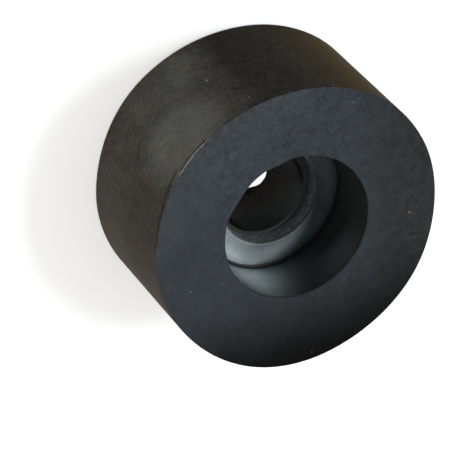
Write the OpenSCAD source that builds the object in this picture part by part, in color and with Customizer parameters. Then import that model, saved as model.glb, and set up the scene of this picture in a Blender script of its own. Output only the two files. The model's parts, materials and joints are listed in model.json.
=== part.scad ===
// Rubber foot for the underside of a case, moulded round a flat steel washer.
// A fixing drops into the counterbore, its head seats on the washer, and its shank
// leaves through the mounting face into the case.
// Millimetres. The origin is the centre of the mounting face, and +Z runs along the
// bore, out of the ground face.

/* [Rubber body] */
// Diameter at the ground face
foot_d = 19.05; // [17:0.05:30]
// Height from the mounting face to the ground face
foot_h = 9.6; // [8:0.1:14]
// Draft of the moulded side, in degrees, narrower towards the mounting face
side_draft = 0.7; // [0:0.1:3]
// Round of the edge at the mounting face
back_round = 0.15; // [0.1:0.05:0.8]
// Bore through the rubber, from the washer to the mounting face
bore_d = 5.7; // [5:0.1:6.3]

/* [Counterbore] */
// Diameter of the hollow for the head of the fixing
counterbore_d = 9.7; // [9:0.1:12]
// Depth from the ground face down to the washer
counterbore_depth = 4.3; // [3:0.1:5.5]
// Round of the mouth at the ground face
mouth_round = 0.1; // [0.05:0.05:0.4]

/* [Steel washer] */
// Outside diameter, with the rim buried in the rubber
washer_d = 12.7; // [12.2:0.1:15]
// Thickness of the sheet that it is punched from
washer_t = 0.9; // [0.6:0.1:1.6]
// Diameter of the punched hole
washer_hole_d = 6.4; // [6.3:0.1:8]
// Round that the punch leaves on the upper edge of the hole
punch_round = 0.1; // [0.05:0.05:0.4]
// Gap that the shrinking rubber leaves round the washer's rim
rim_gap = 0.02; // [0:0.01:0.1]

/* [Hidden] */
$fn = 128;

foot_r = foot_d / 2;
bore_r = bore_d / 2;
counterbore_r = counterbore_d / 2;
washer_r = washer_d / 2;
washer_hole_r = washer_hole_d / 2;
washer_top = foot_h - counterbore_depth;
washer_bottom = washer_top - washer_t;

// Where the sloping side would meet the mounting face if that edge were sharp
base_r = foot_r - foot_h * tan(side_draft);
// Centre of the arc that rounds that edge, tangent to the face and to the side
round_r = base_r + back_round * tan(side_draft) - back_round / cos(side_draft);
// How far a cutter runs past the face that it opens
past = 1;

// Half section of the moulding as a plain disc, with its drafted side and rounded edge
module body_outline() {
    polygon([
        [0, 0],
        [round_r, 0],
        [round_r + back_round * cos(side_draft), back_round * (1 - sin(side_draft))],
        [foot_r, foot_h],
        [0, foot_h]
    ]);
    translate([round_r, back_round])
        circle(r = back_round);
}

// Half section of the counterbore's mouth: a fillet turned outwards
module mouth_flare() {
    translate([counterbore_r, foot_h - mouth_round])
        difference() {
            square(mouth_round);
            translate([mouth_round, 0])
                circle(r = mouth_round);
        }
}

// The moulding: counterbore, bore, and between them the groove that holds the washer's rim
module rubber_body() {
    color([0.14, 0.14, 0.14])
        difference() {
            rotate_extrude()
                body_outline();
            translate([0, 0, washer_top])
                cylinder(r = counterbore_r, h = counterbore_depth + past);
            rotate_extrude()
                mouth_flare();
            translate([0, 0, washer_bottom])
                cylinder(r = washer_r + rim_gap, h = washer_t);
            translate([0, 0, -past])
                cylinder(r = bore_r, h = washer_bottom + 2 * past);
        }
}

// Half section of the washer, square at its rim and rounded at the upper edge of its hole
module washer_section() {
    polygon([
        [washer_hole_r, 0],
        [washer_r, 0],
        [washer_r, washer_t],
        [washer_hole_r + punch_round, washer_t],
        [washer_hole_r, washer_t - punch_round]
    ]);
    translate([washer_hole_r + punch_round, washer_t - punch_round])
        circle(r = punch_round);
}

// The washer that spreads the clamping load, lying where the counterbore ends
module steel_washer() {
    color([0.72, 0.75, 0.78])
        translate([0, 0, washer_bottom])
            rotate_extrude()
                washer_section();
}

rubber_body();
steel_washer();
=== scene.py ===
# %% [markdown]
# # A rubber foot, moulded round a steel washer
#
# The real thing is a short black rubber cylinder that is fixed under a case. A deep
# counterbore takes the head of a fixing, and a punched steel washer, moulded into the
# rubber, stops that head from pulling through.
#
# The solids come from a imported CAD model, which this script loads as a fixed frame.
# The script dresses them: it makes the same two pieces again with the flash, the slack
# shape and the small faults of a real moulding, and gives each surface its finish.
# Every length is in metres unless it says mm, +Z runs out of the counterbored face, and
# the foot stands on its mounting face. A direction round the axis is an azimuth in
# degrees, from +X towards +Y.

# %% Load the frame and keep its box
import json
import math

import bmesh
import bpy
from mathutils import Matrix, Vector, noise

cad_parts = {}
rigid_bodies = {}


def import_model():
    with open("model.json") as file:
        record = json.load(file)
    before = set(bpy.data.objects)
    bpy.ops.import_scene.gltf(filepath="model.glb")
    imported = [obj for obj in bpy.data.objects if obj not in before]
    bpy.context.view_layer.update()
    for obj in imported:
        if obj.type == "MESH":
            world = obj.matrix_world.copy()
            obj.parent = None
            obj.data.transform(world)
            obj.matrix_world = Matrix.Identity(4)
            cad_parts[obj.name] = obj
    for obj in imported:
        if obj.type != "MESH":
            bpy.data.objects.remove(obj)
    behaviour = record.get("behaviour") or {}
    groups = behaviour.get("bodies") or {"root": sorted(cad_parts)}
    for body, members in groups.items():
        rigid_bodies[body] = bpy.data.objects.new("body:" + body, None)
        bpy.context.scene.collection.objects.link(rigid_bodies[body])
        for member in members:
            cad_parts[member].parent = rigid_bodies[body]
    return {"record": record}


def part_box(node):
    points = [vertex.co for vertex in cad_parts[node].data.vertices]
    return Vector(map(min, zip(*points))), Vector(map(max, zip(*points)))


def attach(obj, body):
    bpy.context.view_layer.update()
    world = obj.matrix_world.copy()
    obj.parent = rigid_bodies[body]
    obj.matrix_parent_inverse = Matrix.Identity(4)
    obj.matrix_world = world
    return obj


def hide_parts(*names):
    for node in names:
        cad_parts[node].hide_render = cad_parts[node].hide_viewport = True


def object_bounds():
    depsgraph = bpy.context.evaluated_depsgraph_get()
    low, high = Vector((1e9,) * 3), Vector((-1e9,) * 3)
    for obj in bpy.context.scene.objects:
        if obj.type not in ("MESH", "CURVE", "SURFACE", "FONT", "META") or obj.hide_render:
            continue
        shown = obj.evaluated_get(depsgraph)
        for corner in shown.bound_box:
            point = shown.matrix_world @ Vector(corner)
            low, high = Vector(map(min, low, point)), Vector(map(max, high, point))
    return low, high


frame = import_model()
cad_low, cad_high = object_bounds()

MM = 0.001

# %% [markdown]
# ## Sizes
#
# Nothing is measured twice. The outer sizes are the frame's own boxes, and the round
# walls are the mounts of the record, so a change in the CAD model moves this one too.
# Only what the frame can't say, such as the draft of the side, is a value of its own.

# %% Read the driving sizes
wall_r = {m["name"]: m["dims"]["r_mm"] * MM for m in frame["record"]["mounts"] if "r_mm" in m["dims"]}
foot_r, foot_h = cad_high.x, cad_high.z
bore_r = wall_r["fixing_bore"]
hole_r = wall_r["washer_hole"]
counterbore_r = wall_r["counterbore"]
washer_low, washer_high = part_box("steel_washer")
washer_r = washer_high.x
washer_bottom, washer_top = washer_low.z, washer_high.z
side_draft = math.radians(0.7)
print(f"foot {2 * foot_r / MM:.2f} x {foot_h / MM:.2f} mm, washer {2 * washer_r / MM:.2f} mm")

# %% [markdown]
# ## The camera
#
# The photograph was taken from far away through a long lens, so the face is nearly a
# true ellipse. Three things fix the view: how high the camera stands above the face,
# how far it is rolled about its own line of sight, and where the face's centre falls in
# the picture. The lens then follows from how many pixels the radius covers.

# %% Place the camera
picture_px = 450
face_centre_px = (297.4, 227.3)
radius_px = 155.0
camera_elevation = math.radians(52.8)
camera_roll = math.radians(136.7)
camera_distance = 37.4 * foot_r

turn = Matrix.Rotation(math.pi / 2 - camera_elevation, 3, "X") @ Matrix.Rotation(camera_roll, 3, "Z")
camera_right, camera_up, camera_back = turn.col[0], turn.col[1], turn.col[2]
metres_per_px = foot_r / radius_px
face_centre = Vector((0, 0, foot_h))

camera_data = bpy.data.cameras.new("camera")
camera_data.lens = camera_data.sensor_width * camera_distance / (picture_px * metres_per_px)
camera_data.clip_start, camera_data.clip_end = 0.01, 10
camera = bpy.data.objects.new("camera", camera_data)
bpy.context.scene.collection.objects.link(camera)
camera.rotation_mode = "QUATERNION"
camera.rotation_quaternion = turn.to_quaternion()
camera.location = (
    face_centre
    + camera_back * camera_distance
    - camera_right * (face_centre_px[0] - picture_px / 2) * metres_per_px
    + camera_up * (face_centre_px[1] - picture_px / 2) * metres_per_px
)
bpy.context.scene.camera = camera
print(f"lens {camera_data.lens:.0f} mm at {camera_distance:.3f} m")

# %% [markdown]
# ## Helpers for materials
#
# A material is a small graph of nodes. Written out socket by socket it is hard to read,
# so a few helpers stand for the steps that come back: a node with its values, a sum or a
# product, a soft step between two values, a noise, a mix of two colours, and marks at
# chosen places. Each returns the socket that the next step takes in.

# %% Nodes and arithmetic
def put(tree, socket, value):
    """Gives a socket its value: another socket is linked, anything else is set."""
    if isinstance(value, bpy.types.NodeSocket):
        tree.links.new(value, socket)
    else:
        socket.default_value = value


def node(tree, kind, **values):
    """A new node; its values are its inputs by name, or settings of the node itself."""
    made = tree.nodes.new(kind)
    for key, value in values.items():
        socket = made.inputs.get(key.replace("_", " "))
        if socket is None:
            setattr(made, key, value)
        else:
            put(tree, socket, value)
    return made


def maths(tree, operation, first, second=0.0):
    """One step of arithmetic on numbers or sockets."""
    made = node(tree, "ShaderNodeMath", operation=operation)
    put(tree, made.inputs[0], first)
    put(tree, made.inputs[1], second)
    return made.outputs[0]


def times(tree, first, *others):
    """The product of several numbers or sockets."""
    for other in others:
        first = maths(tree, "MULTIPLY", first, other)
    return first


def largest(tree, first, *others):
    """The largest of several numbers or sockets."""
    for other in others:
        first = maths(tree, "MAXIMUM", first, other)
    return first


def step(tree, value, start, end):
    """A soft step: 0 where value is at start, 1 where it is at end."""
    made = node(tree, "ShaderNodeMapRange", interpolation_type="SMOOTHSTEP", Value=value)
    made.inputs["From Min"].default_value = start
    made.inputs["From Max"].default_value = end
    return made.outputs[0]

# %% Noise
NOISE_LOW, NOISE_MIDDLE, NOISE_HIGH = 0.3, 0.5, 0.7    # the part of a noise that is put to use
NOISE_ROUGHNESS = 0.55


def mottle(tree, place, lump, detail=2.0):
    """Noise from 0 to 1 whose lumps are about lump metres across."""
    made = node(
        tree, "ShaderNodeTexNoise", Vector=place,
        Scale=1 / lump, Detail=detail, Roughness=NOISE_ROUGHNESS,
    )
    return made.outputs["Fac"]


def patchy(tree, place, *layers):
    """A factor about 1 that wanders by a share of itself; each layer is (lump in mm, share)."""
    total = 1.0
    for lump, share in layers:
        swing = node(tree, "ShaderNodeMapRange", Value=mottle(tree, place, lump * MM, detail=1.0))
        swing.inputs["From Min"].default_value = NOISE_LOW
        swing.inputs["From Max"].default_value = NOISE_HIGH
        swing.inputs["To Min"].default_value = -share
        swing.inputs["To Max"].default_value = share
        total = maths(tree, "ADD", total, swing.outputs[0])
    return total


def calmed(tree, wander, calm):
    """A factor that wanders about 1, brought nearer to 1 by the share calm."""
    kept = maths(tree, "SUBTRACT", 1.0, calm)
    return maths(tree, "ADD", 1.0, times(tree, maths(tree, "SUBTRACT", wander, 1.0), kept))


def drifting(tree, place, lump, swing):
    """A distance that wanders to both sides of 0, for edges that aren't straight; both in mm."""
    return times(tree, maths(tree, "SUBTRACT", mottle(tree, place, lump * MM), NOISE_MIDDLE), swing * MM)

# %% Colours
def scaled(tree, colour, factor):
    """A colour made lighter or darker by a factor."""
    made = node(tree, "ShaderNodeVectorMath", operation="SCALE")
    put(tree, made.inputs[0], colour)
    put(tree, made.inputs["Scale"], factor)
    return made.outputs[0]


def tinted(tree, colour, tint):
    """A colour multiplied by another, part by part."""
    made = node(tree, "ShaderNodeVectorMath", operation="MULTIPLY")
    put(tree, made.inputs[0], colour)
    put(tree, made.inputs[1], tint)
    return made.outputs[0]


def blend(tree, amount, low, high):
    """A colour between low and high; each is a triple or a socket."""
    made = node(tree, "ShaderNodeMix", data_type="RGBA")
    put(tree, made.inputs[0], amount)
    for socket, colour in ((made.inputs[6], low), (made.inputs[7], high)):
        put(tree, socket, colour if isinstance(colour, bpy.types.NodeSocket) else (*colour, 1))
    return made.outputs[2]

# %% Places on the foot
MARK_RIM, MARK_CORE = 0.5, 0.2    # shares of a mark's size between which it fades in


def along(tree, place, azimuth):
    """How far a point lies from the axis towards an azimuth, in metres."""
    made = node(tree, "ShaderNodeVectorMath", operation="DOT_PRODUCT")
    put(tree, made.inputs[0], place)
    put(tree, made.inputs[1], (math.cos(math.radians(azimuth)), math.sin(math.radians(azimuth)), 0))
    return made.outputs["Value"]


def towards(tree, place, azimuth, start, end, drift=None):
    """A soft step by how far a point lies towards an azimuth; start and end in mm."""
    reach = along(tree, place, azimuth)
    if drift is not None:
        reach = maths(tree, "ADD", reach, drift)
    return step(tree, reach, start * MM, end * MM)


def height_of(tree, place):
    """How high a point lies above the mounting face, in metres."""
    return node(tree, "ShaderNodeSeparateXYZ", Vector=place).outputs["Z"]


def radius_of(tree, place):
    """How far a point lies from the axis, in metres."""
    made = node(tree, "ShaderNodeVectorMath", operation="LENGTH")
    put(tree, made.inputs[0], tinted(tree, place, (1, 1, 0)))
    return made.outputs["Value"]


def fading(tree, distance, size):
    """1 in the middle of a mark of this size, 0 past its rim."""
    return step(tree, distance, MARK_RIM * size, MARK_CORE * size)


def marks(tree, place, *spots):
    """1 inside round marks; each is (azimuth, distance from the axis, height, size), in mm."""
    insides = []
    for azimuth, away, height, size in spots:
        across = math.radians(azimuth)
        centre = Vector((away * math.cos(across), away * math.sin(across), height)) * MM
        reach = node(tree, "ShaderNodeVectorMath", operation="DISTANCE")
        put(tree, reach.inputs[0], place)
        put(tree, reach.inputs[1], centre)
        insides.append(fading(tree, reach.outputs["Value"], size * MM))
    return largest(tree, 0.0, *insides)

# %% The start and the end of a material
def empty_material(name):
    """A material with nothing in its tree but the output and the place of each point."""
    material = bpy.data.materials.new(name)
    material.use_nodes = True
    tree = material.node_tree
    tree.nodes.clear()
    output = tree.nodes.new("ShaderNodeOutputMaterial")
    return material, tree, output, node(tree, "ShaderNodeTexCoord").outputs["Object"]


def surfaced(material, tree, output, **values):
    """Ends a material in a Principled shader with the given values."""
    surface = node(tree, "ShaderNodeBsdfPrincipled", **values)
    tree.links.new(surface.outputs[0], output.inputs["Surface"])
    return material


def relief(tree, *layers):
    """A bump from layers of (height socket, depth in mm)."""
    total = 0.0
    for height, depth in layers:
        total = maths(tree, "ADD", total, times(tree, height, depth))
    return node(tree, "ShaderNodeBump", Strength=1.0, Distance=MM, Height=total).outputs[0]

# %% [markdown]
# ## The room
#
# A product on white. The camera, and every shiny surface, sees a white horizon and a
# white floor, but what lights the foot is only as strong as a plain studio. Overhead the
# room is darker, as a real ceiling is, and that is what lets the bottom of a deep hollow
# stay dark. The height of a direction is the upward part of it, 0 level and 1 overhead.

# %% World
WHITE = (1, 1, 1, 1)
EYE_RAYS = ("Is Camera Ray", "Is Glossy Ray", "Is Transmission Ray")
daylight = 0.52
ceiling = 0.05
white_up_to, ceiling_from = 0.05, 0.45


def rays(tree, *kinds):
    """1 for rays of any of the given kinds, 0 for the rest."""
    path = tree.nodes.new("ShaderNodeLightPath").outputs
    return largest(tree, *[path[kind] for kind in kinds])


world = bpy.data.worlds.new("studio")
bpy.context.scene.world = world
world.use_nodes = True
tree = world.node_tree
tree.nodes.clear()
direction = node(tree, "ShaderNodeTexCoord").outputs["Generated"]
overhead = step(tree, height_of(tree, direction), white_up_to, ceiling_from)
white_to_ceiling = maths(tree, "SUBTRACT", 1.0, times(tree, overhead, 1 - ceiling))
lighting = node(tree, "ShaderNodeBackground", Color=WHITE, Strength=daylight)
showing = node(tree, "ShaderNodeBackground", Color=WHITE, Strength=white_to_ceiling)
seen = rays(tree, *EYE_RAYS)
choice = node(tree, "ShaderNodeMixShader", Fac=seen)
tree.links.new(lighting.outputs[0], choice.inputs[1])
tree.links.new(showing.outputs[0], choice.inputs[2])
tree.links.new(choice.outputs[0], tree.nodes.new("ShaderNodeOutputWorld").inputs[0])
print(f"world: {daylight} for light, 1.0 to {ceiling} for the eye")

# %% [markdown]
# ## The floor
#
# The floor is white because of the light on it and a little glow of its own: the light
# casts the shadow, and the glow keeps it pale. Where the bore stands on the floor no
# light falls, so there the camera alone sees white through it.

# %% Floor
floor_white = 0.86
floor_glow = 0.45
floor_size = 6.0

material, tree, output, place = empty_material("pale_floor")
inside_bore = maths(tree, "LESS_THAN", radius_of(tree, place), bore_r)
bore_glow = times(tree, inside_bore, rays(tree, "Is Camera Ray"))
seen = rays(tree, *EYE_RAYS)
open_glow = times(tree, maths(tree, "SUBTRACT", 1.0, inside_bore), floor_glow, seen)
glow = maths(tree, "ADD", bore_glow, open_glow)
paint = node(tree, "ShaderNodeBsdfDiffuse", Color=(floor_white, floor_white, floor_white, 1))
shine = node(tree, "ShaderNodeEmission", Color=WHITE, Strength=glow)
both = node(tree, "ShaderNodeAddShader")
tree.links.new(paint.outputs[0], both.inputs[0])
tree.links.new(shine.outputs[0], both.inputs[1])
tree.links.new(both.outputs[0], output.inputs["Surface"])

bm = bmesh.new()
bmesh.ops.create_grid(bm, x_segments=1, y_segments=1, size=floor_size / 2)
floor_mesh = bpy.data.meshes.new("floor")
bm.to_mesh(floor_mesh)
bm.free()
floor = bpy.data.objects.new("floor", floor_mesh)
floor.data.materials.append(material)
bpy.context.scene.collection.objects.link(floor)
print(f"floor {floor_size} m square")

# %% [markdown]
# ## The lamps
#
# Two soft boxes. The key stands high on the far side and shines steeply into the hollow.
# Its place can be read off the washer: the edge of the mouth throws a curved shadow over
# it, and how far that curve is shifted gives the height of the lamp, how soft it is gives
# the size. The fill is low, warm and weak, and draws the round of the side. How bright a
# box looks is what is set, and its power follows from its area, so a box can be made
# larger without a change of tone.

# %% Soft boxes
lamp_distance = 0.25


def soft_box(name, azimuth, elevation, size, glow, tint):
    """A square lamp that faces the foot, of a given brightness as the foot sees it."""
    across, up = math.radians(azimuth), math.radians(elevation)
    direction = Vector((math.cos(across) * math.cos(up), math.sin(across) * math.cos(up), math.sin(up)))
    lamp = bpy.data.lights.new(name, "AREA")
    lamp.shape = "SQUARE"
    lamp.size = size
    lamp.energy = glow * math.pi * size * size
    lamp.color = tint
    box = bpy.data.objects.new(name, lamp)
    box.location = Vector((0, 0, foot_h / 2)) + direction * lamp_distance
    box.rotation_mode = "QUATERNION"
    box.rotation_quaternion = (-direction).to_track_quat("-Z", "Y")
    box.visible_camera = False
    bpy.context.scene.collection.objects.link(box)
    print(f"{name}: {lamp.energy:.3f} W")


soft_box("key", azimuth=152, elevation=62, size=0.060, glow=22.5, tint=(0.95, 1.0, 1.0))
soft_box("fill", azimuth=352, elevation=16, size=0.14, glow=2.6, tint=(1.0, 0.93, 0.84))

# %% [markdown]
# ## Turning a section into a solid
#
# Both pieces are bodies of revolution, as a lathe or a round mould makes them. Each one
# starts as its half section: a few corners, joined by edges, that the spin operator
# carries once round the axis. Subdividing the long edges first gives rings to shape
# later, and bevelling the sharp rings afterwards gives every edge the small round that
# catches the light.

# %% Spin and round
same_point = 0.001 * MM
same_ring = 0.004 * MM


def spun(section, steps):
    """Spins a closed half section of ((radius, height), cuts); cuts divides the edge that follows."""
    bm = bmesh.new()
    verts = [bm.verts.new((r, 0, z)) for (r, z), cuts in section]
    edges = [bm.edges.new(pair) for pair in zip(verts, verts[1:] + verts[:1])]
    for edge, (corner, cuts) in zip(edges, section):
        if cuts:
            bmesh.ops.subdivide_edges(bm, edges=[edge], cuts=cuts)
    bmesh.ops.spin(
        bm, geom=bm.verts[:] + bm.edges[:], cent=(0, 0, 0), axis=(0, 0, 1), dvec=(0, 0, 0),
        angle=math.tau, steps=steps, use_merge=True, use_normal_flip=False, use_duplicate=False,
    )
    bmesh.ops.remove_doubles(bm, verts=bm.verts[:], dist=same_point)
    bmesh.ops.recalc_face_normals(bm, faces=bm.faces[:])
    return bm


def round_ring(bm, radius, height, size, segments):
    """Bevels the ring of edges at one radius and height to a round of that size."""
    def on_ring(v):
        return abs(v.co.xy.length - radius) < same_ring and abs(v.co.z - height) < same_ring

    edges = [e for e in bm.edges if on_ring(e.verts[0]) and on_ring(e.verts[1])]
    bmesh.ops.bevel(
        bm, geom=edges, offset=size, offset_type="OFFSET", segments=segments,
        profile=0.5, affect="EDGES", material=-1,
    )


def finished(bm, name, materials, sharp_angle):
    """Turns a bmesh into a smooth-shaded object that rides on the root body."""
    for face in bm.faces:
        face.smooth = True
    mesh = bpy.data.meshes.new(name)
    bm.to_mesh(mesh)
    bm.free()
    mesh.set_sharp_from_angle(angle=math.radians(sharp_angle))
    for material in materials:
        mesh.materials.append(material)
    piece = bpy.data.objects.new(name, mesh)
    bpy.context.scene.collection.objects.link(piece)
    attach(piece, "root")
    print(f"{name}: {len(mesh.polygons)} faces")
    return piece

# %% [markdown]
# ## Rubber
#
# One compound, seven finishes, because the mould leaves each surface its own. Each finish is bare rubber
# under bloom and dust, and most also carry painted light and shade in their colour; what differs is where
# these lie.
# Dust is made of small balls in space: a surface shows the ones that it cuts, so the grains need no
# places of their own, and only the largest are listed one by one.

# %% What the finishes share
DUST = (0.34, 0.32, 0.28)
# A highlight painted on the thin edge of the flash
PAINTED_FIN_HIGHLIGHT = (0.20, 0.19, 0.165)
fin_azimuth = 281


def specks(tree, place, spacing, size):
    """Pale grains: the surface shows each one that it cuts of a cloud of small balls; in mm."""
    cells = node(tree, "ShaderNodeTexVoronoi", Vector=place, Scale=1 / (spacing * MM), Randomness=1.0)
    return fading(tree, cells.outputs["Distance"], size / spacing)


def painted_fin_highlight(tree, place):
    """1 on the thin edge of the short stretch of flash that stands out, where a highlight is painted in
    patches.
    """
    outermost = step(tree, radius_of(tree, place), foot_r - 0.01 * MM, foot_r + 0.02 * MM)
    near_face = step(tree, height_of(tree, place), foot_h - 0.10 * MM, foot_h - 0.04 * MM)
    stretch = towards(tree, place, fin_azimuth, 9.41, 9.48)
    in_patches = step(tree, mottle(tree, place, 0.4 * MM), 0.3, 0.6)
    return times(tree, stretch, in_patches, times(tree, outermost, near_face))


def streak(tree, place, azimuth, reach, below_face, thickness):
    """1 in a thin line along the edge of the face; azimuth and reach in degrees, the rest in mm."""
    faint, full = (foot_r * math.cos(math.radians(reach * share)) for share in (1.0, 0.5))
    stretch = step(tree, along(tree, place, azimuth), faint, full)
    away = maths(tree, "SUBTRACT", height_of(tree, place), foot_h - below_face * MM)
    line = fading(tree, maths(tree, "ABSOLUTE", away), thickness * MM)
    return times(tree, stretch, line)

# %% [markdown]
# ### The side
#
# Satin and brownish, and darkest where none of its lighter tones lies. These are painted light: a painted
# highlight near the ground face on one side, painted light from the fill on another and low down, and a
# painted olive sheen where the side turns away. A plain stripe or gradient would look false, so most of
# these lie towards some azimuth, with an edge that drifts. On top comes a fine mottle at four scales,
# calmer under the painted fill light and the painted highlight.

# %% The side
BARE, BARE_BROWN = (0.0220, 0.0203, 0.0182), (0.046, 0.035, 0.026)
# A broad painted highlight, and a paler one in two large marks, both on the side near azimuth 280
BROAD_PAINTED_HIGHLIGHT = (0.049, 0.0465, 0.0415)
PAINTED_HIGHLIGHT = (0.106, 0.107, 0.096)
# Painted light from the fill side, and paler still low down
PAINTED_FILL_LIGHT = (0.049, 0.0435, 0.039)
PAINTED_LOW_LIGHT = (0.068, 0.063, 0.055)
# A painted olive sheen where the side turns away
PAINTED_OLIVE_SHEEN = (0.027, 0.0165, 0.0042)
WARMER, COOLER = (1.06, 0.99, 0.95), (0.95, 1.01, 1.03)
SCUFFED_SIDE = (0.085, 0.062, 0.048)
# Painted shade in the gap under the flash
PAINTED_GAP_SHADE = (0.008, 0.008, 0.007)

# Marks on the side: azimuth, distance from the axis, height and size
# Two large marks that paint the highlight near the ground face
highlight_above = (279, 9.5, 7.2, 8.5)
highlight_below = (272, 9.4, 1.5, 9.0)
side_scuffs = ((279, 9.5, 9.1, 0.35), (293, 9.5, 9.2, 0.5))
side_grains = (
    (257, 9.5, 4.6, 0.22),
    (232.5, 9.5, 1.85, 0.18),
    (235, 9.5, 6.65, 0.15),
    (240, 9.5, 8.25, 0.16),
    (230.5, 9.5, 3.8, 0.14),
    (250, 9.5, 8.4, 0.14),
    (218, 9.5, 9.3, 0.12),
)


def side_colour(tree, place):
    """The side without its grains and gaps: where each tone lies, painted light among them, and the
    mottle over all.
    """
    drift = drifting(tree, place, lump=2.0, swing=1.2)
    # Painted highlight, broad, towards azimuth 281
    broad_patch = towards(tree, place, 281, 7.5, 8.8, drift)
    # Painted light towards azimuth 345, and low down towards azimuth 318
    painted_fill_light = towards(tree, place, 345, 4.6, 9.2, drift)
    near_floor = step(tree, height_of(tree, place), 7.0 * MM, 1.0 * MM)
    low = times(tree, near_floor, towards(tree, place, 318, 7.2, 9.3, drift))
    # Painted sheen towards azimuth 190
    painted_olive_sheen = towards(tree, place, 190, 7.8, 9.4)
    brown = times(tree, step(tree, mottle(tree, place, 0.22 * MM, detail=3.0), 0.42, 0.72), 0.4)
    painted_highlight = largest(tree, marks(tree, place, highlight_above), times(tree, marks(tree, place, highlight_below), 0.6))
    body = blend(tree, brown, BARE, BARE_BROWN)
    tones = ((broad_patch, BROAD_PAINTED_HIGHLIGHT), (painted_highlight, PAINTED_HIGHLIGHT), (painted_fill_light, PAINTED_FILL_LIGHT), (low, PAINTED_LOW_LIGHT), (painted_olive_sheen, PAINTED_OLIVE_SHEEN))
    for amount, tone in tones:
        body = blend(tree, amount, body, tone)
    cool = step(tree, mottle(tree, place, 0.5 * MM), 0.4, 0.6)
    body = tinted(tree, body, blend(tree, cool, WARMER, COOLER))
    wander = patchy(tree, place, (0.07, 0.16), (0.15, 0.20), (0.35, 0.20), (1.1, 0.15))
    return scaled(tree, body, calmed(tree, wander, times(tree, largest(tree, painted_fill_light, painted_highlight), 0.5)))


def side_rubber():
    """The moulded side, with its grains and scuffs, painted shade under the torn flash, and a painted
    highlight on its edge.
    """
    material, tree, output, place = empty_material("rubber_side")
    body = blend(tree, marks(tree, place, *side_scuffs), side_colour(tree, place), SCUFFED_SIDE)
    fine = times(tree, specks(tree, place, spacing=1.0, size=0.12), 0.3)
    body = blend(tree, largest(tree, fine, marks(tree, place, *side_grains)), body, DUST)
    # Painted shade: a dark line under the flash, and a fainter one of the same colour lower down
    painted_fin_shade = streak(tree, place, azimuth=279.5, reach=6, below_face=0.18, thickness=0.16)
    faint_gap = streak(tree, place, azimuth=295, reach=5, below_face=0.50, thickness=0.24)
    body = blend(tree, largest(tree, painted_fin_shade, times(tree, faint_gap, 0.6)), body, PAINTED_GAP_SHADE)
    # Painted highlight on the edge of the flash
    body = blend(tree, painted_fin_highlight(tree, place), body, PAINTED_FIN_HIGHLIGHT)
    grain, waves = mottle(tree, place, 0.09 * MM), mottle(tree, place, 1.6 * MM)
    return surfaced(
        material, tree, output, Base_Color=body, Roughness=0.6, Specular_IOR_Level=0.01,
        Sheen_Weight=0.05, Sheen_Roughness=0.35, Sheen_Tint=(1.0, 0.82, 0.42, 1),
        Normal=relief(tree, (grain, 0.006), (waves, 0.02)),
    )

# %% [markdown]
# ### The ground face
#
# Dull and blue-grey: wax that has bloomed out of the rubber, with painted cool light in its blue. Towards
# one edge it fades to black, which is painted shade, so the colour is one blend from black to wax. The
# wax turns from blue to a darker neutral grey on one side, which is painted shade too, and painted light
# makes it lighter towards another; its mottle is calmer on the grey side and towards one edge.

# %% The ground face
# Bloom colours: the blue holds painted cool light, the grey painted shade
BLOOM_BLUE_WITH_PAINTED_COOL_LIGHT, BLOOM_GREY_WITH_PAINTED_SHADE = (0.0429, 0.0518, 0.0617), (0.0289, 0.0311, 0.0311)
BLOOM_TINGE = (0.0420, 0.0445, 0.0500)
# Black for the painted shade towards one edge of the face
PAINTED_SHADE_BLACK = (0.0048, 0.0046, 0.0044)
SCUFFED_FACE = (0.16, 0.10, 0.08)

# Marks on the face: azimuth, distance from the axis, height and size
face_up = foot_h / MM
face_scuff = (138, 7.7, face_up, 0.26)
face_grains = (
    (208, 8.7, face_up, 0.14),
    (206, 9.0, face_up, 0.10),
    (345, 7.75, face_up, 0.14),
    (352, 5.9, face_up, 0.10),
)


def face_rubber():
    """The ground face: dull blue-grey bloom with painted cool light, turned grey on one side and black
    towards one edge by painted shade.
    """
    material, tree, output, place = empty_material("rubber_face")
    drift = drifting(tree, place, lump=2.5, swing=1.4)
    # Painted shade: black towards azimuth 61, greyer and darker towards azimuth 140
    out_of_painted_shade = towards(tree, place, 61, 9.7, 2.2, drift)
    painted_grey_side = towards(tree, place, 140, 2.5, 7.5, drift)
    wax_and_painted_light = blend(tree, painted_grey_side, BLOOM_BLUE_WITH_PAINTED_COOL_LIGHT, BLOOM_GREY_WITH_PAINTED_SHADE)
    tinged = step(tree, mottle(tree, place, 0.6 * MM), 0.4, 0.6)
    wax_and_painted_light = blend(tree, times(tree, tinged, 0.5), wax_and_painted_light, BLOOM_TINGE)
    wander = patchy(tree, place, (0.07, 0.10), (0.15, 0.17), (0.35, 0.14), (1.0, 0.10))
    broad_patch = largest(tree, painted_grey_side, towards(tree, place, 2, 0.0, 6.0))
    wax_and_painted_light = scaled(tree, wax_and_painted_light, calmed(tree, wander, times(tree, broad_patch, 0.5)))
    # Painted light: lighter towards azimuth 275
    painted_lighter = times(tree, towards(tree, place, 275, 4.5, 7.5), 0.24)
    wax_and_painted_light = scaled(tree, wax_and_painted_light, maths(tree, "ADD", 1.0, painted_lighter))
    body = blend(tree, out_of_painted_shade, PAINTED_SHADE_BLACK, wax_and_painted_light)
    grains = largest(tree, specks(tree, place, spacing=1.4, size=0.11), marks(tree, place, *face_grains))
    body = blend(tree, times(tree, grains, 0.35), body, DUST)
    # Painted highlight on the edge of the flash
    body = blend(tree, painted_fin_highlight(tree, place), body, PAINTED_FIN_HIGHLIGHT)
    body = blend(tree, marks(tree, place, face_scuff), body, SCUFFED_FACE)
    return surfaced(
        material, tree, output, Base_Color=body, Roughness=0.75, Specular_IOR_Level=0.06,
        Normal=relief(tree, (mottle(tree, place, 0.12 * MM), 0.006)),
    )

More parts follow.
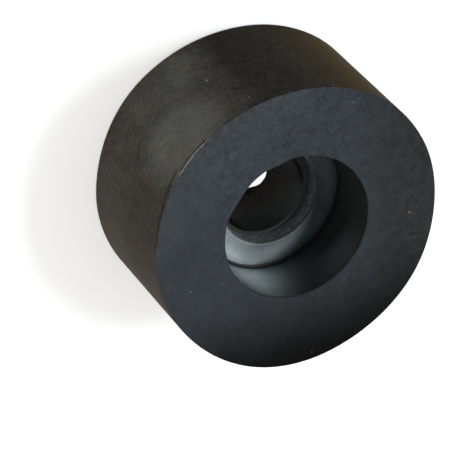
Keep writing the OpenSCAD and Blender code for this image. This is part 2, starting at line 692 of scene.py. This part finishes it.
# %% [markdown]
# ### The walls of the hollow
#
# The core pin that made the hollow was polished, so the walls of the counterbore and of the bore are
# smooth and nearly black, and what they show is mostly what they mirror. Their gloss does the work here,
# and their colour is kept low, except low in the bore, where a warm glow from its open end is painted
# into the colour. A faint, slow relief breaks the mirror image up, because no moulded wall is truly
# round.

# %% The walls of the hollow
WALL_DARK, WALL_PALE = (0.012, 0.013, 0.013), (0.021, 0.022, 0.021)
BORE_DARK, BORE_PALE = (0.003, 0.003, 0.003), (0.008, 0.007, 0.006)
# Painted warm light low in the bore, near its open end
BORE_LOW_PAINTED_GLOW = (0.013, 0.010, 0.008)
PAINTED_WARM_GLOW = (0.068, 0.045, 0.030)


def polished_relief(tree, place):
    """The slow waves that a polished core pin leaves in a wall."""
    return relief(tree, (mottle(tree, place, 0.8 * MM), 0.012))


def wall_rubber():
    """The wall of the counterbore: it mirrors the washer, so it is brightest where that is lit."""
    material, tree, output, place = empty_material("rubber_wall")
    body = blend(tree, mottle(tree, place, 1.2 * MM), WALL_DARK, WALL_PALE)
    return surfaced(
        material, tree, output, Base_Color=body,
        Roughness=0.33, Specular_IOR_Level=0.90, Specular_Tint=(0.82, 0.98, 1.0, 1),
        Normal=polished_relief(tree, place),
    )


def bore_rubber():
    """The wall of the bore: polished by the core pin, nearly black, with painted warm light low down near
    its open end.
    """
    material, tree, output, place = empty_material("rubber_bore")
    # Painted warm light: paler and browner low down, most towards azimuth 125
    low = step(tree, height_of(tree, place), 3.6 * MM, 0.8 * MM)
    painted_warm_glow = times(tree, low, towards(tree, place, 125, 0.5, 2.8))
    body = blend(tree, mottle(tree, place, 1.2 * MM), BORE_DARK, BORE_PALE)
    body = blend(tree, low, body, BORE_LOW_PAINTED_GLOW)
    body = blend(tree, painted_warm_glow, body, PAINTED_WARM_GLOW)
    return surfaced(
        material, tree, output, Base_Color=scaled(tree, body, patchy(tree, place, (0.3, 0.3))),
        Roughness=0.25, Specular_IOR_Level=0.39, Specular_Tint=(0.84, 0.98, 1.0, 1),
        Normal=polished_relief(tree, place),
    )

# %% [markdown]
# ### The ledge and the gaps
#
# The ledge under the washer, in the washer's shade, is paler than the rest of the rubber: painted light.
# In the narrow gaps, under the flash and beside the washer, the rubber has little shine, and under the
# flash it is also darker: painted shade. All of these are narrow, so two close tones and a dull shader
# are enough.

# %% The ledge and the gaps
# Painted light: the ledge is paler than the rest of the rubber
LEDGE_DARK, LEDGE_PALE = (0.036, 0.039, 0.039), (0.062, 0.064, 0.062)
# Painted shade: the groove under the flash is darker
PAINTED_SHADE_GROOVE = (0.010, 0.011, 0.010)
CREEP_DARK = (0.011, 0.013, 0.013)
gap_contrast = 1.3


def dull_rubber(name, dark, pale, roughness, specular):
    """Rubber in two close tones with hardly any shine."""
    material, tree, output, place = empty_material(name)
    body = blend(tree, mottle(tree, place, 0.3 * MM), dark, pale)
    return surfaced(
        material, tree, output, Base_Color=body, Roughness=roughness, Specular_IOR_Level=specular,
    )


def gap_rubber(name, colour, specular):
    """Dull rubber for the gaps under the flash and beside the washer; under the flash its darker colour
    is painted shade.
    """
    return dull_rubber(name, colour, [gap_contrast * part for part in colour], 0.55, specular)


rubber_finishes = [
    side_rubber(),
    face_rubber(),
    wall_rubber(),
    bore_rubber(),
    dull_rubber("rubber_ledge_painted_light", LEDGE_DARK, LEDGE_PALE, roughness=0.8, specular=0.1),
    gap_rubber("rubber_groove_painted_shade", PAINTED_SHADE_GROOVE, specular=0.1),
    gap_rubber("rubber_creep", CREEP_DARK, specular=0.3),
]
SIDE, FACE, WALL, BORE, LEDGE, GROOVE, CREEP = range(7)
print(f"{len(rubber_finishes)} finishes of rubber")

# %% [markdown]
# ## The moulded body
#
# The section starts at the bore's lower end and runs round by the mounting face, the
# drafted side, the ground face, the counterbore, the groove that grips the washer, and
# the bore again. At the parting line, where the mould closes on the ground face, a thin
# lip of flash stands out over a shallow groove. A little rubber has crept under the core
# pin, on to the washer. The cuts divide the long edges into rings, which are what the
# faults move later.

# %% Spin the body
flash_tall = 0.14 * MM
groove_tall = 0.13 * MM
groove_deep = 0.13 * MM
rim_tall = 0.6 * MM
creep_wide = 0.18 * MM
creep_tall = 0.06 * MM
ledge_lip = 0.05 * MM
back_round = 0.15 * MM
mouth_round = 0.10 * MM
edge_round = 0.02 * MM
body_steps = 600


def side_radius(z):
    """Radius of the drafted side at a height."""
    return foot_r - (foot_h - z) * math.tan(side_draft)


rim_low = foot_h - rim_tall
groove_top = foot_h - flash_tall
groove_low = groove_top - groove_tall
body_section = [
    ((bore_r, 0), 8),
    ((side_radius(0), 0), 36),
    ((side_radius(rim_low), rim_low), 4),
    ((side_radius(groove_low), groove_low), 1),
    ((foot_r - groove_deep, groove_low + 0.3 * groove_tall), 0),
    ((foot_r - groove_deep, groove_top - 0.2 * groove_tall), 1),
    ((side_radius(groove_top), groove_top), 2),
    ((foot_r, foot_h), 12),
    ((counterbore_r, foot_h), 16),
    ((counterbore_r, washer_top + creep_tall), 3),
    ((counterbore_r - creep_wide, washer_top), 4),
    ((washer_r, washer_top), 1),
    ((washer_r, washer_bottom), 4),
    ((hole_r - ledge_lip, washer_bottom), 1),
    ((bore_r, washer_bottom), 14),
]
bm = spun(body_section, body_steps)
round_ring(bm, side_radius(0), 0, back_round, segments=4)
round_ring(bm, counterbore_r, foot_h, mouth_round, segments=3)
round_ring(bm, foot_r, foot_h, edge_round, segments=2)
print(f"plain body: {len(bm.faces)} faces")

# %% [markdown]
# ## The faults of a real moulding
#
# A round section alone looks like a drawing. Soft rubber comes out of the mould a little
# off round, its flash is thick in one place and missing in another, and the skin at the
# mouth and at the far end of the bore isn't trimmed clean. All of these are moves of the
# points that are already there, each one a smooth hump round some azimuth, so the surface
# stays closed. The groove is cut first, because the finish of each face depends on how
# deep the groove is there.

# %% Humps round the axis
hair = 0.01 * MM    # how far off a point may lie and still count as on a surface


def hump(azimuth, centre, width):
    """1 at the centre azimuth, 0 beyond half the width from it, smooth between."""
    away = abs((azimuth - centre + 180) % 360 - 180) / (width / 2)
    return 0.5 + 0.5 * math.cos(math.pi * away) if away < 1 else 0.0


def humps(azimuth, parts):
    """The sum of several humps; each is (size, centre azimuth, width)."""
    return sum(size * hump(azimuth, centre, width) for size, centre, width in parts)


def wobble(azimuth, lump, seed):
    """A smooth random value from -1 to 1 that changes over about lump degrees round the axis."""
    across = math.radians(azimuth)
    span = math.degrees(1) / lump
    return noise.noise(Vector((math.cos(across) * span, math.sin(across) * span, seed)))


def azimuth_of(v):
    """Where a point lies round the axis, in degrees."""
    return math.degrees(math.atan2(v.co.y, v.co.x)) % 360


def push_out(v, distance):
    """Moves a point away from the axis, or towards it where distance is negative."""
    v.co.xy += v.co.xy.normalized() * distance

# %% Groove and fin of the parting line
torn_flash = ((1.0, 298, 14), (1.0, 311, 26), (0.9, 282, 7))    # share of the groove's depth
faint_groove = ((0.15, 100, 160),)
groove_sag = ((0.14, 297, 26),)    # mm
fin_out = ((0.045, fin_azimuth, 20),)    # mm

for v in bm.verts:
    radius, z = v.co.xy.length, v.co.z
    if radius < foot_r - 0.3 * MM or z < groove_low - hair:
        continue
    azimuth = azimuth_of(v)
    raggedness = 0.9 + 0.6 * wobble(azimuth, 3, seed=0.3)
    depth = min(1.0, humps(azimuth, torn_flash)) * raggedness + humps(azimuth, faint_groove)
    if z < groove_top + hair:
        push_out(v, (side_radius(z) - radius) * (1 - min(1.0, depth)))
        v.co.z -= humps(azimuth, groove_sag) * MM
    if z > groove_top:
        push_out(v, humps(azimuth, fin_out) * MM)

# %% Give each surface its finish
for face in bm.faces:
    middle = face.calc_center_median()
    radius = middle.xy.length
    sunk = side_radius(middle.z) - radius
    if face.normal.z > 0.5 and middle.z > foot_h - 0.08 * MM:
        face.material_index = FACE
    elif counterbore_r - creep_wide < radius < counterbore_r and abs(middle.z - washer_top) < creep_tall:
        face.material_index = CREEP
    elif 0.035 * MM < sunk < 0.3 * MM and middle.z > rim_low:
        face.material_index = GROOVE
    elif bore_r < radius < hole_r + 0.5 * MM and abs(middle.z - washer_bottom) < hair:
        face.material_index = LEDGE
    elif radius < bore_r + hair and middle.z > hair:
        face.material_index = BORE
    elif radius < counterbore_r + mouth_round and middle.z > washer_top:
        face.material_index = WALL
    else:
        face.material_index = SIDE

# %% Off round, mouth and bore
# Humps in mm, outwards for the slack shape and inwards for the skin and the curl
slack_at_face = ((0.18, 42, 90), (-0.11, 138, 64))
slack_all_along = ((0.05, 193, 50), (0.06, 282, 44), (-0.06, 238, 60), (-0.05, 314, 40))
mouth_skin = ((0.13, 288, 40), (0.15, 248, 30), (0.055, 266, 34))
bore_curl = ((0.36, 77, 40), (0.13, 115, 22))
skin_tall = 0.25 * MM
skin_reach = 0.2 * MM
skin_wobble = 0.03 * MM
curl_tall = 0.6 * MM
creep_wobble = 0.05 * MM

for v in bm.verts:
    azimuth = azimuth_of(v)
    radius, z = v.co.xy.length, v.co.z
    if radius > counterbore_r + mouth_round:
        share = (radius - counterbore_r) / (foot_r - counterbore_r)
        slack = humps(azimuth, slack_at_face) * z / foot_h + humps(azimuth, slack_all_along)
        push_out(v, slack * share * MM)
    if z > foot_h - skin_tall and radius < counterbore_r + skin_reach:
        skin = humps(azimuth, mouth_skin) * MM + skin_wobble * wobble(azimuth, 9, seed=2.5)
        push_out(v, -skin * (1 - (foot_h - z) / skin_tall))
    if z < curl_tall and radius < bore_r + hair:
        push_out(v, -humps(azimuth, bore_curl) * MM * (1 - z / curl_tall))
    crept = counterbore_r - creep_wide - hair < radius < counterbore_r - hair
    if crept and abs(z - washer_top) < creep_tall:
        push_out(v, -creep_wobble * wobble(azimuth, 14, seed=5.1))

body = finished(bm, "moulded_rubber", rubber_finishes, sharp_angle=40)
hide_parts("rubber_body")

# %% [markdown]
# ## Zinc plate
#
# The washer is sheet steel, zinc plated. The flat of the plate is metal with a soft mirror, a little
# cloudy. The punch tears the wall of the hole, so the plate is rough there and scatters the light evenly,
# and the rolled edge above it is dark and dull. The flat ring is also darker beside the hole on one side,
# along its outer edge and towards one end. Soft steps say where, two by radius and two by direction.

# %% Zinc
def zinc(name, bright, dull, metal, roughness, lump, depth, darkening=0.0):
    """Zinc plate; metal is the share that mirrors, and the last value how much darker it gets beside the
    hole, along its outer edge and towards one end; lump and depth in mm.
    """
    material, tree, output, place = empty_material(name)
    colour = blend(tree, step(tree, mottle(tree, place, lump * MM, detail=4.0), 0.35, 0.65), dull, bright)
    away = radius_of(tree, place)
    # Darker beside the hole on one side, along the outer edge and towards one end
    beside_hole = step(tree, away, hole_r + 0.70 * MM, hole_r + 0.10 * MM)
    beside_wall = step(tree, away, counterbore_r - 0.60 * MM, counterbore_r - 0.10 * MM)
    at_one_end = towards(tree, place, 5, 3.2, 4.4)
    inner = times(tree, beside_hole, towards(tree, place, 100, 0.3, 2.2))
    outer = maths(tree, "ADD", times(tree, beside_wall, 0.8), times(tree, at_one_end, 0.35))
    loss = times(tree, largest(tree, inner, outer), darkening)
    colour = scaled(tree, colour, maths(tree, "SUBTRACT", 1.0, loss))
    rough = node(tree, "ShaderNodeMapRange", Value=mottle(tree, place, 0.8 * MM, detail=3.0))
    rough.inputs["To Min"].default_value = roughness - 0.03
    rough.inputs["To Max"].default_value = roughness + 0.03
    return surfaced(
        material, tree, output, Base_Color=colour, Metallic=metal, Roughness=rough.outputs[0],
        Normal=relief(tree, (mottle(tree, place, 0.12 * MM), depth)),
    )


zinc_flat = zinc(
    "zinc_flat", bright=(0.68, 0.75, 0.79), dull=(0.60, 0.67, 0.71),
    metal=1.0, roughness=0.46, lump=0.4, depth=0.0008, darkening=0.40,
)
zinc_torn = zinc(
    "zinc_torn", bright=(0.34, 0.37, 0.38), dull=(0.18, 0.20, 0.21),
    metal=0.25, roughness=0.60, lump=0.25, depth=0.02,
)
zinc_edge = zinc(
    "zinc_edge", bright=(0.15, 0.16, 0.16), dull=(0.10, 0.11, 0.11),
    metal=0.0, roughness=0.70, lump=0.25, depth=0.005, darkening=0.6,
)
FLAT, TORN, EDGE = range(3)

# %% [markdown]
# ## The washer
#
# A disc punched from sheet steel. Two faults of the punching are moves of the points,
# strongest at the hole and nothing under the rubber. The hole isn't quite in the middle,
# as the wider and the narrower side of the ring show. And the sheet stands up a little
# round it: so slight a slope can't be seen as a shape, but it decides where the lamp is
# mirrored, and with that the gleam on the wall beside it.

# %% Punch the washer
punch_round = 0.12 * MM
off_centre = 0.12 * MM
dished = 0.09 * MM
washer_steps = 400
washer_section = [
    ((hole_r, washer_bottom), 6),
    ((washer_r, washer_bottom), 0),
    ((washer_r, washer_top), 14),
    ((hole_r + 2 * punch_round, washer_top), 0),
    ((hole_r, washer_top), 8),
]
bm = spun(washer_section, washer_steps)
round_ring(bm, hole_r, washer_top, punch_round, segments=4)
for face in bm.faces:
    middle = face.calc_center_median()
    if middle.xy.length < hole_r + punch_round and washer_bottom < middle.z < washer_top:
        face.material_index = TORN if middle.z < washer_top - punch_round else EDGE
for v in bm.verts:
    radius = v.co.xy.length
    raised = dished * max(0.0, (counterbore_r - radius) / (counterbore_r - hole_r))
    v.co.z += raised * (v.co.z - washer_bottom) / (washer_top - washer_bottom)
    v.co.x -= off_centre * (washer_r - radius) / (washer_r - hole_r)

washer = finished(bm, "punched_washer", [zinc_flat, zinc_torn, zinc_edge], sharp_angle=40)
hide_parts("steel_washer")

# %% [markdown]
# ## Finish
#
# The picture keeps the plain Standard view transform.

# %% Set the view transform
bpy.context.scene.view_settings.view_transform = "Standard"
